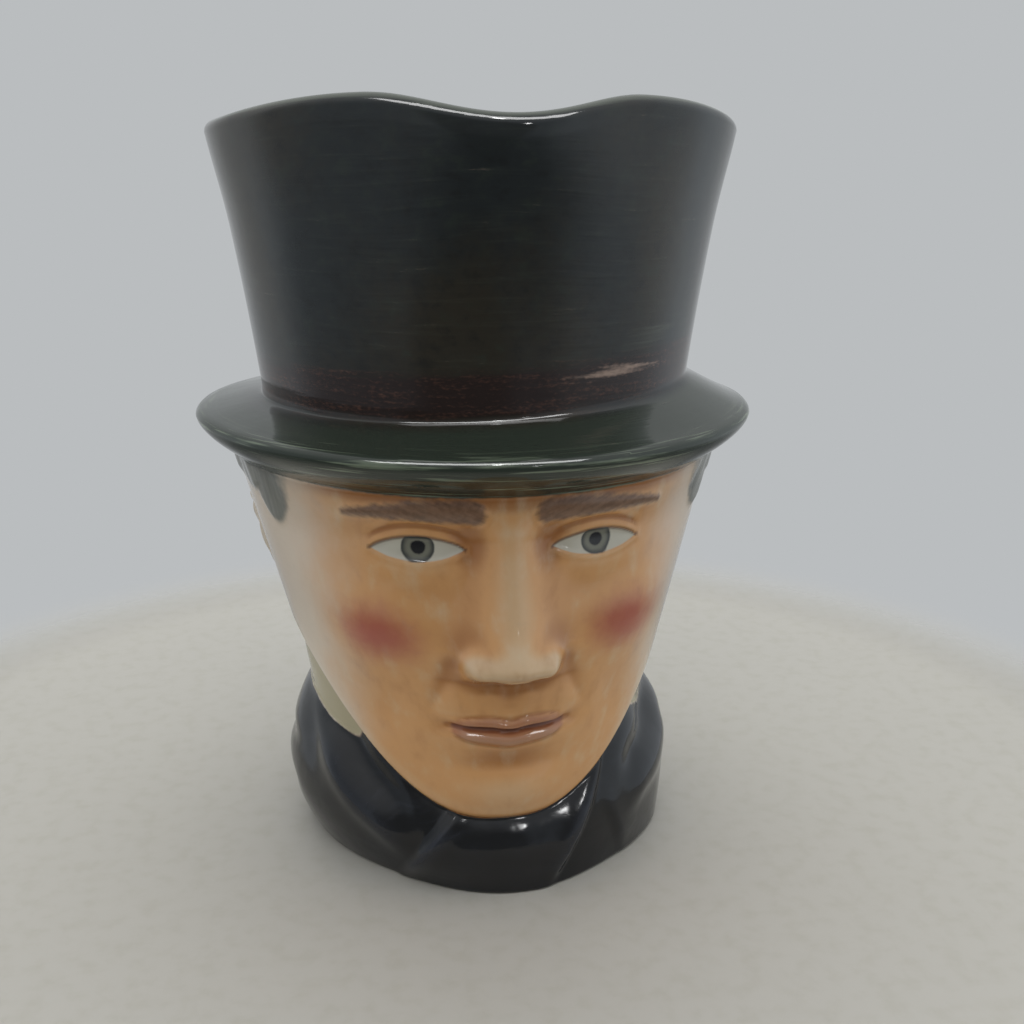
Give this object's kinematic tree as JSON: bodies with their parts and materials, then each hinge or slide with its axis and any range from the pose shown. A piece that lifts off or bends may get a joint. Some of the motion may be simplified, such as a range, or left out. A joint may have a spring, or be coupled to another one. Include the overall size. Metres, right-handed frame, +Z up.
{
  "type": "character jug",
  "caption": "Glazed earthenware jug cast as a man's head in a flared top hat, open at the hat with a pouring lip over the face and a loop handle behind.",
  "frame": {"origin": "middle of the flat foot, on the surface that the jug stands on", "axes": "+Z up, the face and the pouring lip towards -Y, the handle towards +Y"},
  "size_m": [0.0684, 0.0932, 0.09],
  "materials": {
    "glazed_earthenware": "hand-painted under a clear glossy glaze: green-black hat, plum band, flesh face, cream collar, blue-black neckcloth, cream inside"
  },
  "bodies": {
    "root": {"jug": "glazed_earthenware"}
  },
  "joints": []
}
